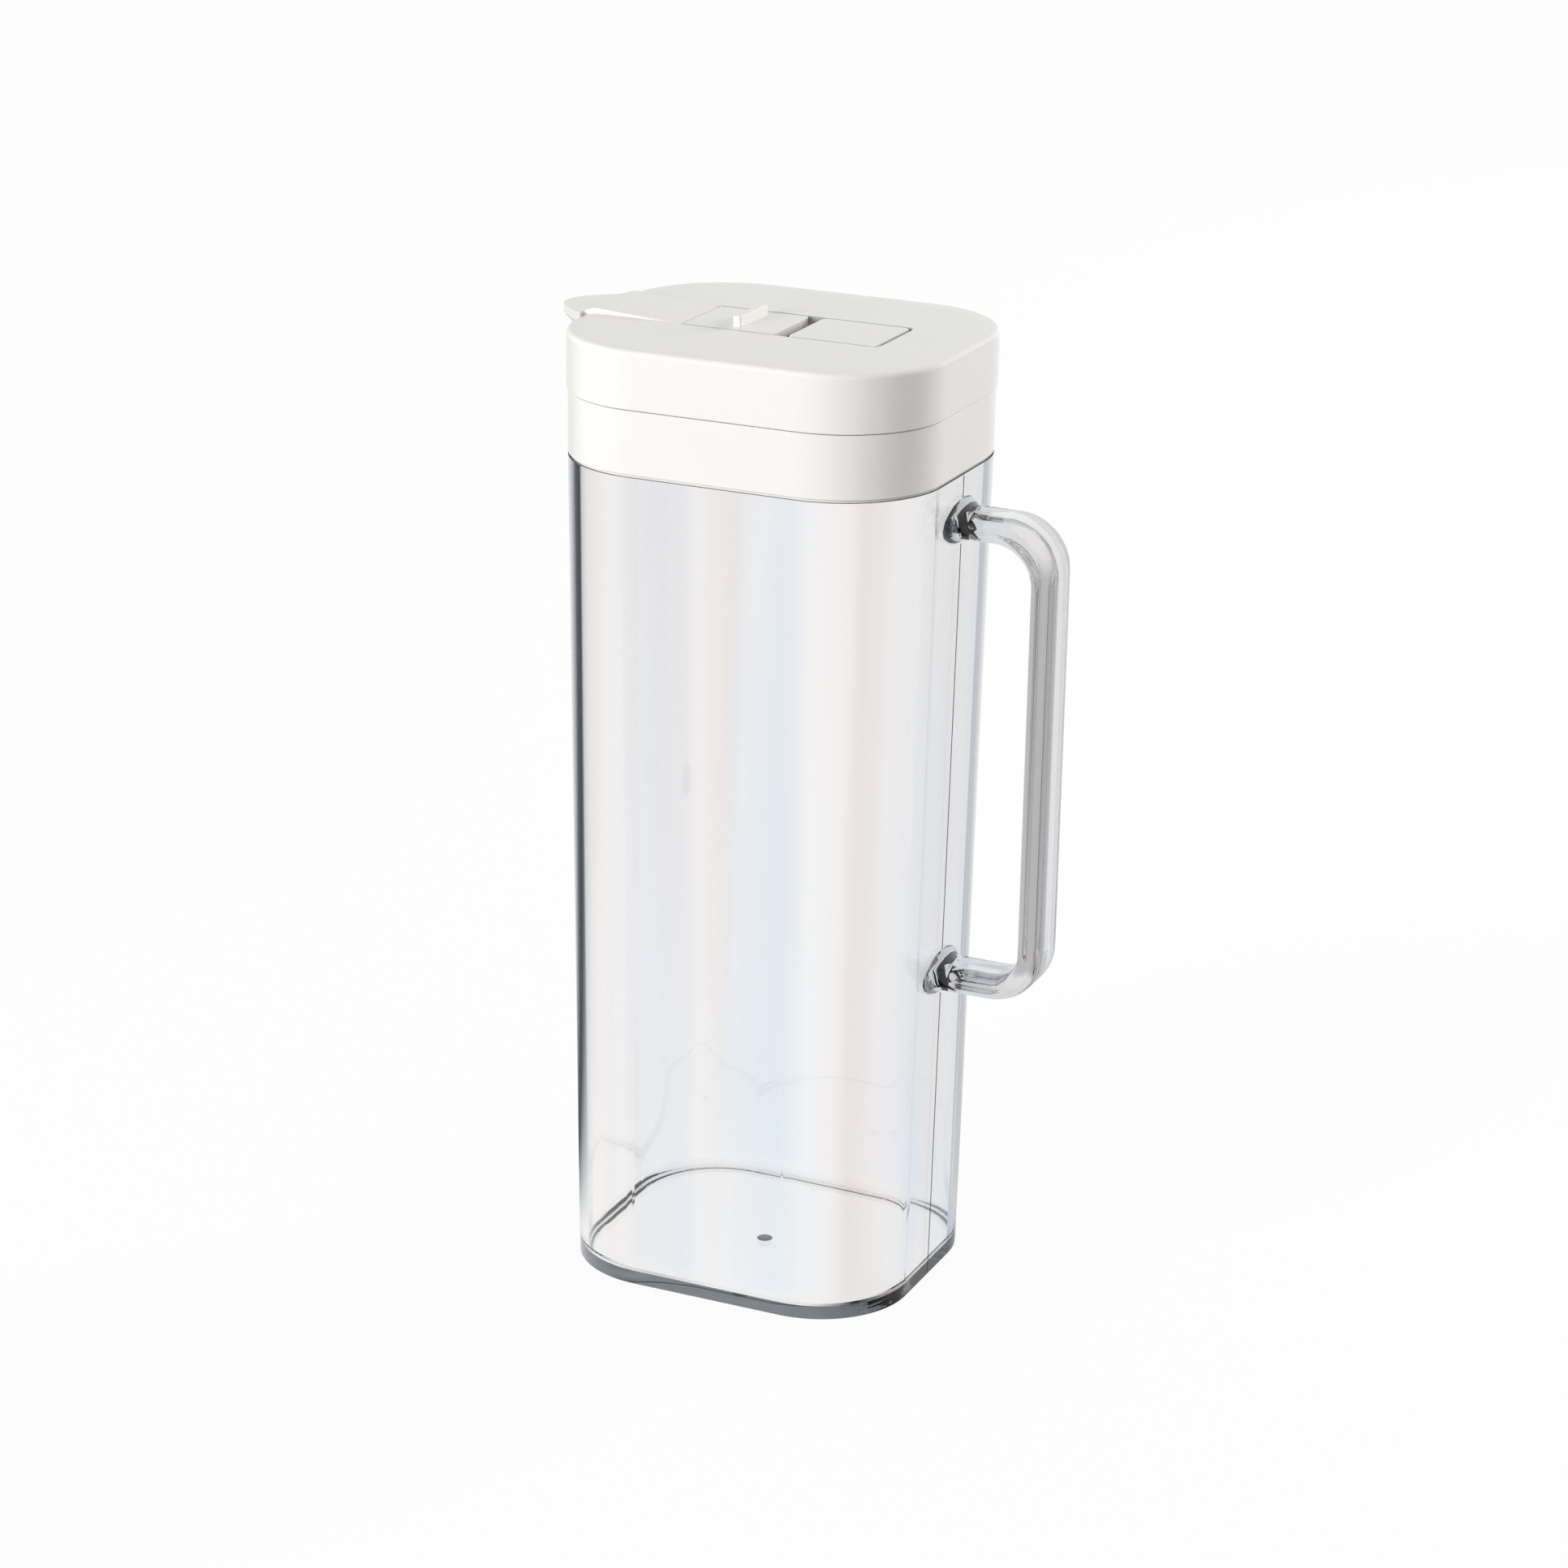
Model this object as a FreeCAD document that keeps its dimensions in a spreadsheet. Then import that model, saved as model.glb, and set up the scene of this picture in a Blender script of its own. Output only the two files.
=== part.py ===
import FreeCAD, Part
import math
import os

import Sketcher
from FreeCAD import Placement, Rotation, Vector

# A clear moulded two-litre water jug with a side handle. An opaque collar ring is fixed round its
# neck, and a cap sits on top. The cap has a pouring beak towards -X, a hinged flap that covers it,
# a sliding thumb catch behind the flap and a fixed cover plate behind the catch.
# Frame: origin at the centre of the foot, +Z up, +X towards the handle, -X towards the spout.

# Driving sizes in millimetres: alias, value, meaning.
SIZES = (
    ("foot_half_length", 51.5, "half the jug's length along X at the foot"),
    ("foot_half_depth", 44.3, "half the jug's depth along Y at the foot"),
    ("foot_corner", 28.2, "plan corner radius at the foot"),
    ("shoulder_half_length", 55.2, "half the jug's length along X under the collar"),
    ("shoulder_half_depth", 46.9, "half the jug's depth along Y under the collar"),
    ("shoulder_corner", 30.3, "plan corner radius under the collar"),
    ("shoulder_height", 243.9, "height of the ledge that carries the collar"),
    ("wall", 2.5, "side wall of the jug at its foot"),
    ("floor_thickness", 2.8, "floor of the jug"),
    ("cavity_fillet", 2.5, "fillet between floor and wall inside"),
    ("foot_fillet", 0.4, "outer edge of the flat foot"),
    ("neck_inset", 1.6, "step from the shoulder in to the neck"),
    ("neck_wall", 1.4, "wall of the neck at its rim"),
    ("neck_rise", 23.1, "height of the neck above the ledge"),
    ("rim_fillet", 0.4, "edge round on the neck's rim"),
    ("collar_height", 18.8, "height of the collar"),
    ("groove_height", 0.75, "shadow groove between the collar's skin and the ledge"),
    ("groove_depth", 0.9, "depth of the shadow groove"),
    ("collar_fit", 0.1, "clearance between neck and collar"),
    ("edge_round", 0.3, "small edge round on the moulded lid parts"),
    ("seam_gap", 0.3, "gap between collar and cap"),
    ("cap_height", 17.0, "height of the cap"),
    ("cap_proud", 0.5, "how far the cap stands out past collar and shoulder"),
    ("cap_wall", 2.4, "side wall of the cap"),
    ("cap_deck", 2.6, "top of the cap"),
    ("cap_fit", 0.3, "clearance between the neck and the cap"),
    ("cap_shelf", 2.0, "inner shelf of the cap that rests on the neck's rim"),
    ("cap_edge", 1.5, "round between the cap's top and its side"),
    ("crown_drop", 0.5, "how far the cap's border falls towards its edge"),
    ("crown_width", 6.0, "width of the falling border"),
    ("plug_depth", 8.0, "how far the cap's plug reaches down into the neck"),
    ("plug_wall", 1.8, "wall of the plug"),
    ("strip_half", 13.1, "half the width of the recess that holds flap, catch and cover"),
    ("recess_depth", 2.9, "depth of that recess below the cap's top"),
    ("recess_end", 34.2, "X of the recess's closed end"),
    ("recess_corner", 3.0, "corner radius of the recess's closed end"),
    ("tray_floor", 2.0, "thickness under the recess"),
    ("side_gap", 0.35, "gap beside the flap, the catch and the cover"),
    ("hinge_line", 25.5, "distance of the gap between flap and catch from the middle"),
    ("pin_radius", 0.8, "hinge pin of the flap"),
    ("pin_reach", 1.2, "how far each pin stands out of the flap's side"),
    ("pin_clearance", 0.06, "radial clearance of the pins"),
    ("flap_seat", 0.4, "gap between the flap and the recess floor or the lip"),
    ("flap_lift", 1.6, "rise of the flap's top from the hinge to its high line"),
    ("lift_line", 53.0, "distance of the flap's high line from the middle"),
    ("beak_line", 57.0, "distance of the line where the flap meets the flat beak"),
    ("beak_drop", 0.1, "how far the beak's top lies under the cap's top"),
    ("beak_blend", 6.0, "round along the two lines across the flap"),
    ("beak_reach", 67.5, "distance of the beak's tip from the middle"),
    ("beak_nose", 10.0, "radius of the beak's nose"),
    ("beak_half", 14.9, "half the beak's width where it leaves the cap"),
    ("flap_hollow", 1.3, "depth of the hollow under the flap"),
    ("flap_rim", 2.6, "rim around that hollow"),
    ("flap_edge", 0.35, "edge round on the flap's top"),
    ("lip_inset", 0.4, "how far the spout's lip stays inside the beak"),
    ("lip_rim", 1.8, "rim between the spout's lip and its trough"),
    ("spout_drop", 12.6, "height of the spout below the lip"),
    ("spout_nose", 3.2, "radius of the spout's nose where it joins the cap's side"),
    ("spout_half", 6.0, "half the spout's width where it joins the cap's side"),
    ("spout_foot", 0.8, "how far the spout's foot stands out of the cap's side"),
    ("trough_depth", 5.1, "depth of the spout's trough"),
    ("trough_nose", 2.0, "radius of the trough's nose at its bottom"),
    ("mouth_half", 9.0, "half the width of the pouring mouth"),
    ("mouth_length", 17.5, "length of the pouring mouth"),
    ("mouth_corner", 2.0, "corner radius of the pouring mouth"),
    ("slot_start", 2.0, "X of the catch's rear end"),
    ("slot_width", 4.5, "gap behind the catch, where it slides back"),
    ("catch_lift", 0.3, "gap under the catch"),
    ("catch_corner", 1.0, "plan corner radius of the catch and the flap's rear"),
    ("tongue_reach", 0.7, "how far the catch's side tongues stand out"),
    ("tongue_height", 0.9, "height of the side tongues"),
    ("groove_gap", 0.15, "clearance round the tongues in their grooves"),
    ("well_depth", 8.0, "depth of the well under the gap behind the catch"),
    ("well_under", 3.0, "how far the well reaches under the catch"),
    ("well_wall", 1.6, "wall of that well"),
    ("rib_centre", 10.3, "distance of the thumb rib from the middle"),
    ("rib_half", 9.2, "half the thumb rib's width"),
    ("rib_thickness", 2.5, "thickness of the thumb rib"),
    ("rib_height", 3.2, "height of the thumb rib"),
    ("rib_round", 0.7, "edge round of the thumb rib"),
    ("cover_end_gap", 1.0, "gap at the cover plate's far end"),
    ("cover_corner", 2.4, "plan corner radius at the cover's far end"),
    ("bar_thickness", 7.8, "handle bar, measured in the plane of the handle"),
    ("bar_width", 15.0, "handle bar, measured along Y"),
    ("bar_round", 3.4, "edge round of the handle bar"),
    ("grip_centre", 81.85, "distance of the grip's centre line from the middle"),
    ("upper_arm", 230.6, "height of the upper arm's centre line"),
    ("lower_arm", 96.4, "height of the lower arm's centre line"),
    ("upper_outer_bend", 15.4, "outer radius of the upper bend"),
    ("lower_outer_bend", 16.2, "outer radius of the lower bend"),
    ("upper_inner_bend", 11.4, "inner radius of the upper bend"),
    ("lower_inner_bend", 6.6, "inner radius of the lower bend"),
    ("foot_pad_half_width", 14.2, "half the width of the oval pads on the wall"),
    ("foot_pad_half_height", 6.9, "half the height of the oval pads on the wall"),
    ("foot_pad_end", 3.2, "end radius of the oval pads on the wall"),
    ("foot_pad_rise", 0.5, "how far the pads sit above the arms' centre lines"),
    ("foot_pad_length", 6.0, "length over which the pads flare"),
    ("arm_embed", 1.2, "how far the arms are sunk into the wall"),
)

doc = FreeCAD.newDocument("WaterPitcher")
sheet = doc.addObject("Spreadsheet::Sheet", "Sizes")
for row, (alias, size, meaning) in enumerate(SIZES, start=1):
    sheet.set(f"A{row}", alias)
    sheet.set(f"B{row}", str(size))
    sheet.setAlias(f"B{row}", alias)
    sheet.set(f"C{row}", meaning)
doc.recompute()


def named(expression):
    """Write the aliases of an expression the way other objects must name them."""
    words = {alias for alias, _, _ in SIZES}
    pieces = []
    word = ""
    for letter in expression + " ":
        if letter.isalnum() or letter == "_":
            word += letter
            continue
        pieces.append("Sizes." + word if word in words else word)
        pieces.append(letter)
        word = ""
    return "".join(pieces).strip()


def size_of(expression):
    """Return the value in millimetres of an expression of sheet aliases."""
    return float(sheet.evalExpression(named(expression)))


# Sizes that follow from the sheet.
def drafted(at_foot, at_shoulder, height):
    """Expression for a wall size at a height, on the straight draft from foot to shoulder."""
    return f"({at_foot} + ({at_shoulder} - {at_foot}) * ({height}) / shoulder_height)"


def jug_outline_at(height, inset="0"):
    """Half length, half depth and corner of the jug's plan at a height, moved in by an inset."""
    return (
        drafted("foot_half_length", "shoulder_half_length", height) + f" - ({inset})",
        drafted("foot_half_depth", "shoulder_half_depth", height) + f" - ({inset})",
        drafted("foot_corner", "shoulder_corner", height) + f" - ({inset})",
    )


def shoulder_outline(offset):
    """Half length, half depth and corner of a plan outline at an offset from the shoulder's."""
    return (
        f"shoulder_half_length + {offset}",
        f"shoulder_half_depth + {offset}",
        f"shoulder_corner + {offset}",
    )


def neck_bore(clearance):
    """Outline of the jug's mouth at the neck's rim, moved in by a clearance."""
    return shoulder_outline(f"(-neck_inset - neck_wall - ({clearance}))")


NECK_TOP = "(shoulder_height + neck_rise)"
COLLAR_SKIN = "(shoulder_height + groove_height)"
CAP_BASE = "(shoulder_height + collar_height + seam_gap)"
CAP_TOP = f"({CAP_BASE} + cap_height)"
DECK_UNDERSIDE = f"({CAP_TOP} - cap_deck)"
RECESS_FLOOR = f"({CAP_TOP} - recess_depth)"
TRAY_UNDERSIDE = f"({RECESS_FLOOR} - tray_floor)"
CAP_SIDE = "(shoulder_half_length + cap_proud)"
FLAP_UNDERSIDE = f"({RECESS_FLOOR} + flap_seat)"
BARREL_RADIUS = "((recess_depth - flap_seat) / 2)"
HINGE_X = f"(-hinge_line - side_gap / 2 - {BARREL_RADIUS})"
HINGE_Z = f"({CAP_TOP} - {BARREL_RADIUS})"
STRIP_HALF = "(strip_half - side_gap)"
CATCH_FRONT = "(-hinge_line + side_gap / 2)"
COVER_FRONT = "(slot_start + slot_width)"
MOUTH_START = f"(-{CAP_SIDE} + cap_wall)"


# Sketches.
def new_body(label):
    """Start a PartDesign body with a Label of its own."""
    body = doc.addObject("PartDesign::Body", label)
    body.Label = label
    return body


def new_sketch(body, name, plane="XY_Plane", offset="0"):
    """Attach a sketch to one of the body's own planes, moved along the plane's normal."""
    sketch = body.newObject("Sketcher::SketchObject", name)
    origin_plane = next(f for f in body.Origin.OriginFeatures if f.Role == plane)
    sketch.AttachmentSupport = [(origin_plane, "")]
    sketch.MapMode = "FlatFace"
    sketch.setExpression("AttachmentOffset.Base.z", named(offset))
    return sketch


def bind(sketch, kind, parts, name, expression):
    """Add a dimension whose value follows a sheet expression."""
    index = sketch.addConstraint(Sketcher.Constraint(kind, *parts, size_of(expression)))
    sketch.renameConstraint(index, name)
    sketch.setExpression(f"Constraints.{name}", named(expression))


def place(sketch, axis, element, point, name, expression):
    """Fix one coordinate of a sketch point; a negative one is measured back to the origin."""
    kind = f"Distance{axis}"
    if size_of(expression) < 0:
        bind(sketch, kind, (element, point, -1, 1), name, f"-({expression})")
    else:
        bind(sketch, kind, (-1, 1, element, point), name, expression)


def draw_chain(sketch, curves, smooth):
    """Add curves that follow each other round a loop, joined smoothly where smooth says so."""
    first = sketch.GeometryCount
    sketch.addGeometry(curves, False)
    count = len(curves)
    for index in range(count):
        following = first + (index + 1) % count
        kind = "Tangent" if smooth[index] else "Coincident"
        joint = Sketcher.Constraint(kind, first + index, 2, following, 1)
        sketch.addConstraint(joint)
    return first


def line(start, end):
    """Straight sketch element between two points of a plane."""
    return Part.LineSegment(Vector(*start, 0), Vector(*end, 0))


def arc(centre, radius, start_degrees, end_degrees):
    """Circular sketch element, anticlockwise from one angle to another."""
    circle = Part.Circle(Vector(*centre, 0), Vector(0, 0, 1), radius)
    return Part.ArcOfCircle(circle, math.radians(start_degrees), math.radians(end_degrees))


def rounded_outline(sketch, left, right, half, corner):
    """Closed outline with four equal round corners, symmetric about the sketch's first axis."""
    x0, x1, y, r = (size_of(e) for e in (left, right, half, corner))
    curves = [
        line((x0 + r, -y), (x1 - r, -y)),
        arc((x1 - r, r - y), r, -90, 0),
        line((x1, r - y), (x1, y - r)),
        arc((x1 - r, y - r), r, 0, 90),
        line((x1 - r, y), (x0 + r, y)),
        arc((x0 + r, y - r), r, 90, 180),
        line((x0, y - r), (x0, r - y)),
        arc((x0 + r, r - y), r, 180, 270),
    ]
    draw_chain(sketch, curves, [True] * 8)
    rules = [Sketcher.Constraint("Horizontal", i) for i in (0, 4)]
    rules += [Sketcher.Constraint("Vertical", i) for i in (2, 6)]
    rules += [Sketcher.Constraint("Equal", 1, i) for i in (5, 7)]
    rules += [Sketcher.Constraint("Symmetric", 1, 3, 3, 3, -1)]
    sketch.addConstraint(rules)
    bind(sketch, "Radius", (1,), "corner", corner)
    place(sketch, "Y", 4, 1, "half_width", half)
    place(sketch, "X", 2, 1, "right_side", right)
    place(sketch, "X", 6, 1, "left_side", left)


def oval_outline(sketch, half_width, half_height, end_radius):
    """Oval of four arcs about the sketch's origin: round ends and long arcs above and below."""
    side_radius = (
        f"((({half_width}) - ({end_radius}))^2 + ({half_height})^2 - ({end_radius})^2)"
        f" / (2 * (({half_height}) - ({end_radius})))"
    )
    a, b, end, side = (size_of(e) for e in (half_width, half_height, end_radius, side_radius))
    lean = math.degrees(math.atan2(side - b, a - end))
    curves = [
        arc((a - end, 0), end, -lean, lean),
        arc((0, b - side), side, lean, 180 - lean),
        arc((end - a, 0), end, 180 - lean, 180 + lean),
        arc((0, side - b), side, 180 + lean, 360 - lean),
    ]
    draw_chain(sketch, curves, [True] * 4)
    rules = [Sketcher.Constraint("PointOnObject", i, 3, -1) for i in (0, 2)]
    rules += [Sketcher.Constraint("Equal", 0, 2), Sketcher.Constraint("Equal", 1, 3)]
    rules += [Sketcher.Constraint("PointOnObject", 1, 3, -2)]
    sketch.addConstraint(rules)
    bind(sketch, "Radius", (0,), "end_radius", end_radius)
    bind(sketch, "Radius", (1,), "side_radius", side_radius)
    place(sketch, "X", 0, 3, "end_centre", f"({half_width}) - ({end_radius})")


def centred_outline(body, name, height, outline):
    """Rounded outline about the Z axis at a height; outline is half length, half depth, corner."""
    half_length, half_depth, corner = outline
    sketch = new_sketch(body, name, offset=height)
    rounded_outline(sketch, f"-({half_length})", half_length, half_depth, corner)
    return sketch


def beak_outline(sketch, tip, nose, base, half):
    """Round nose towards -X with straight sides running back to a base across the X axis."""
    tip_x, radius, base_x, y = (size_of(e) for e in (tip, nose, base, half))
    centre_x = tip_x + radius
    span = math.hypot(base_x - centre_x, y)
    turn = math.degrees(math.atan2(y, base_x - centre_x) + math.acos(radius / span))
    touch_x = centre_x + radius * math.cos(math.radians(turn))
    touch_y = radius * math.sin(math.radians(turn))
    curves = [
        line((base_x, -y), (base_x, y)),
        line((base_x, y), (touch_x, touch_y)),
        arc((centre_x, 0), radius, turn, 360 - turn),
        line((touch_x, -touch_y), (base_x, -y)),
    ]
    first = draw_chain(sketch, curves, [False, True, True, False])
    rules = [
        Sketcher.Constraint("Symmetric", first, 1, first, 2, -1),
        Sketcher.Constraint("PointOnObject", first + 2, 3, -1),
    ]
    sketch.addConstraint(rules)
    bind(sketch, "Radius", (first + 2,), "nose", nose)
    place(sketch, "X", first + 2, 3, "nose_centre", f"{tip} + {nose}")
    place(sketch, "X", first, 1, "base_line", base)
    place(sketch, "Y", first, 2, "base_half", half)


def circle_outline(sketch, x, y, radius):
    """Full circle placed by its centre."""
    centre = Vector(size_of(x), size_of(y), 0)
    sketch.addGeometry(Part.Circle(centre, Vector(0, 0, 1), size_of(radius)), False)
    bind(sketch, "Radius", (0,), "radius", radius)
    place(sketch, "X", 0, 3, "centre_x", x)
    place(sketch, "Y", 0, 3, "centre_y", y)


# Features.
def loft(body, name, sketches, cut=False, ruled=True):
    """Loft through sketches, as material or as a cut."""
    kind = "PartDesign::SubtractiveLoft" if cut else "PartDesign::AdditiveLoft"
    feature = body.newObject(kind, name)
    feature.Profile = sketches[0]
    feature.Sections = sketches[1:]
    feature.Ruled = ruled
    return feature


def pad(body, name, sketch, length, midplane=False, reverse=False):
    """Pad a sketch by an expression."""
    feature = body.newObject("PartDesign::Pad", name)
    feature.Profile = sketch
    feature.setExpression("Length", named(length))
    feature.Reversed = reverse
    if midplane:
        feature.SideType = "Symmetric"
    return feature


def pocket(body, name, sketch, length, upward=False, midplane=False):
    """Cut a sketch into the body and make sure that it took material away."""
    doc.recompute()
    before = body.Shape.Volume
    feature = body.newObject("PartDesign::Pocket", name)
    feature.Profile = sketch
    feature.setExpression("Length", named(length))
    feature.Reversed = upward
    if midplane:
        feature.SideType = "Symmetric"
    doc.recompute()
    if body.Shape.Volume >= before:
        raise RuntimeError(f"{name} cut nothing")
    return feature


def edges_where(feature, test):
    """Names of a feature's edges whose sample points all pass a test."""
    names = []
    for number, edge in enumerate(feature.Shape.Edges, start=1):
        points = edge.discretize(5)
        if all(test(point) for point in points):
            names.append(f"Edge{number}")
    return names


def fillet(body, name, radius, test):
    """Round the edges of the body's tip that pass a test."""
    doc.recompute()
    base = body.Tip
    names = edges_where(base, test)
    if not names:
        raise RuntimeError(f"{name} found no edges")
    feature = body.newObject("PartDesign::Fillet", name)
    feature.Base = (base, names)
    feature.setExpression("Radius", named(radius))
    return feature


def near(number, expression, slack=0.02):
    """True where a coordinate lies at a sheet expression."""
    return abs(number - size_of(expression)) < slack


# The clear jug: drafted shell, straight neck above a ledge, flat foot.
def make_shell():
    body = new_body("jug_shell")
    foot = centred_outline(body, "foot_outline", "0", jug_outline_at("0"))
    shoulder = centred_outline(body, "shoulder_outline", "shoulder_height", shoulder_outline("0"))
    loft(body, "drafted_block", [foot, shoulder])
    neck = centred_outline(body, "neck_outline", "shoulder_height", shoulder_outline("(-neck_inset)"))
    pad(body, "neck", neck, "neck_rise")
    low = jug_outline_at("floor_thickness", "wall")
    cavity_low = centred_outline(body, "cavity_floor", "floor_thickness", low)
    cavity_high = centred_outline(body, "cavity_mouth", NECK_TOP, neck_bore("0"))
    loft(body, "cavity", [cavity_low, cavity_high], cut=True)
    fillet(body, "cavity_round", "cavity_fillet", lambda p: near(p.z, "floor_thickness"))
    fillet(body, "foot_round", "foot_fillet", lambda p: near(p.z, "0"))
    fillet(body, "rim_round", "rim_fillet", lambda p: near(p.z, NECK_TOP))
    return body


# The handle: a flat bar bent into a bracket, with a flared pad at each end.
def wall_face(height):
    """Expression for the X of the jug's handle-side face at a height."""
    return drafted("foot_half_length", "shoulder_half_length", height)


def bracket_outline(sketch):
    """Bracket seen from the side, in the XZ plane: outer run, end, inner run, end."""
    upper_top = "upper_arm + bar_thickness / 2"
    upper_low = "upper_arm - bar_thickness / 2"
    lower_top = "lower_arm + bar_thickness / 2"
    lower_low = "lower_arm - bar_thickness / 2"
    outer_x = "grip_centre + bar_thickness / 2"
    inner_x = "grip_centre - bar_thickness / 2"
    upper_end = f"{wall_face('upper_arm')} - arm_embed"
    lower_end = f"{wall_face('lower_arm')} - arm_embed"
    names = (upper_top, upper_low, lower_top, lower_low, outer_x, inner_x, upper_end, lower_end)
    z3, z2, z1, z0, x1, x0, xu, xl = (size_of(e) for e in names)
    upper_round = size_of("upper_outer_bend")
    lower_round = size_of("lower_outer_bend")
    upper_bend = size_of("upper_inner_bend")
    lower_bend = size_of("lower_inner_bend")
    curves = [
        line((xl, z0), (x1 - lower_round, z0)),
        arc((x1 - lower_round, z0 + lower_round), lower_round, -90, 0),
        line((x1, z0 + lower_round), (x1, z3 - upper_round)),
        arc((x1 - upper_round, z3 - upper_round), upper_round, 0, 90),
        line((x1 - upper_round, z3), (xu, z3)),
        line((xu, z3), (xu, z2)),
        line((xu, z2), (x0 - upper_bend, z2)),
        inner_arc((x0 - upper_bend, z2 - upper_bend), upper_bend, 90, 0),
        line((x0, z2 - upper_bend), (x0, z1 + lower_bend)),
        inner_arc((x0 - lower_bend, z1 + lower_bend), lower_bend, 0, -90),
        line((x0 - lower_bend, z1), (xl, z1)),
        line((xl, z1), (xl, z0)),
    ]
    chain_with_inner_arcs(sketch, curves)
    rules = [Sketcher.Constraint("Horizontal", i) for i in (0, 4, 6, 10)]
    rules += [Sketcher.Constraint("Vertical", i) for i in (2, 5, 8, 11)]
    sketch.addConstraint(rules)
    bind(sketch, "Radius", (1,), "lower_outer_bend", "lower_outer_bend")
    bind(sketch, "Radius", (3,), "upper_outer_bend", "upper_outer_bend")
    bind(sketch, "Radius", (7,), "upper_inner_bend", "upper_inner_bend")
    bind(sketch, "Radius", (9,), "lower_inner_bend", "lower_inner_bend")
    place(sketch, "Y", 0, 1, "lower_low", lower_low)
    place(sketch, "Y", 10, 1, "lower_top", lower_top)
    place(sketch, "Y", 6, 1, "upper_low", upper_low)
    place(sketch, "Y", 4, 1, "upper_top", upper_top)
    place(sketch, "X", 2, 1, "outer_side", outer_x)
    place(sketch, "X", 8, 1, "inner_side", inner_x)
    place(sketch, "X", 5, 1, "upper_end", upper_end)
    place(sketch, "X", 11, 1, "lower_end", lower_end)


def inner_arc(centre, radius, start_degrees, end_degrees):
    """Arc that the outline follows clockwise; its own ends are the other way round."""
    return arc(centre, radius, end_degrees, start_degrees)


def chain_with_inner_arcs(sketch, curves):
    """Join the bracket's curves; the two inner arcs are met at their far ends."""
    sketch.addGeometry(curves, False)
    clockwise = (7, 9)
    straight_joints = ((4, 5), (5, 6), (10, 11), (11, 0))
    for index in range(len(curves)):
        following = (index + 1) % len(curves)
        leaving = 1 if index in clockwise else 2
        arriving = 2 if following in clockwise else 1
        kind = "Coincident" if (index, following) in straight_joints else "Tangent"
        sketch.addConstraint(Sketcher.Constraint(kind, index, leaving, following, arriving))


def flare(body, name, arm):
    """Oval pad that widens from inside the bar to the wall along a quarter ellipse."""
    sketches = []
    steps = (("embedded", "-arm_embed", 1.0), ("a", "0", 1.0))
    for label, share in (("b", 0.08), ("c", 0.25), ("d", 0.5), ("e", 1.0)):
        spread = 1 - math.sqrt(1 - (1 - share) ** 2)
        steps += ((label, f"{share} * foot_pad_length", spread),)
    narrow = "(bar_width / 2 - 0.1 * side_gap)"
    low = "(bar_thickness / 2 - 0.1 * side_gap)"
    blunt = "(bar_thickness / 2 - side_gap)"
    for label, distance, spread in steps:
        section = new_sketch(body, f"{name}_{label}", "YZ_Plane", f"{wall_face(arm)} + {distance}")
        section.setExpression("AttachmentOffset.Base.y", named(f"{arm} + foot_pad_rise * {spread}"))
        oval_outline(
            section,
            f"{narrow} + (foot_pad_half_width - {narrow}) * {spread}",
            f"{low} + (foot_pad_half_height - {low}) * {spread}",
            f"{blunt} + (foot_pad_end - {blunt}) * {spread}",
        )
        sketches.append(section)
    loft(body, f"{name}_stub", sketches[:2])
    loft(body, f"{name}_flare", sketches[1:], ruled=False)


def make_handle():
    body = new_body("handle_bar")
    outline = new_sketch(body, "bracket_outline", "XZ_Plane")
    bracket_outline(outline)
    pad(body, "bracket", outline, "bar_width", midplane=True)
    at_end = size_of(f"{wall_face('shoulder_height')}")
    fillet(
        body,
        "bar_rounds",
        "bar_round",
        lambda p: near(abs(p.y), "bar_width / 2") and not (p.x < at_end and on_bar_end(p)),
    )
    flare(body, "upper_pad", "upper_arm")
    flare(body, "lower_pad", "lower_arm")
    return body


def on_bar_end(point):
    """True on the short end faces of the two arms."""
    for arm in ("upper_arm", "lower_arm"):
        if near(point.x, f"{wall_face(arm)} - arm_embed"):
            return True
    return False


def make_jug():
    shell = make_shell()
    handle = make_handle()
    doc.recompute()
    jug = doc.addObject("Part::MultiFuse", "jug")
    jug.Label = "jug"
    jug.Shapes = [shell, handle]
    jug.Refine = True
    return jug


# The opaque collar, fixed round the neck, flush with the shoulder above a shadow groove.
def make_collar():
    body = new_body("collar")
    foot = centred_outline(
        body, "collar_foot_outline", "shoulder_height", shoulder_outline("(-groove_depth)")
    )
    pad(body, "collar_foot", foot, "groove_height")
    skin_height = "collar_height - groove_height"
    skin = centred_outline(body, "collar_outline", COLLAR_SKIN, shoulder_outline("0"))
    pad(body, "collar_skin", skin, skin_height)
    bore = centred_outline(
        body, "collar_bore", "shoulder_height", shoulder_outline("(collar_fit - neck_inset)")
    )
    pocket(body, "collar_hole", bore, "collar_height", upward=True)
    outer_radius = size_of("shoulder_corner - groove_depth / 2")
    fillet(body, "collar_rounds", "edge_round", lambda p: beyond_plan(p, outer_radius) and at_collar_end(p))
    return body


def beyond_plan(point, corner_radius):
    """True outside a plan outline that is concentric with the shoulder's."""
    corner_x = size_of("shoulder_half_length - shoulder_corner")
    corner_y = size_of("shoulder_half_depth - shoulder_corner")
    out_x = max(abs(point.x) - corner_x, 0)
    out_y = max(abs(point.y) - corner_y, 0)
    return math.hypot(out_x, out_y) > corner_radius


def at_collar_end(point):
    """True at the lower and upper ends of the collar's outer skin."""
    return near(point.z, COLLAR_SKIN) or near(point.z, "shoulder_height + collar_height")


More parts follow.
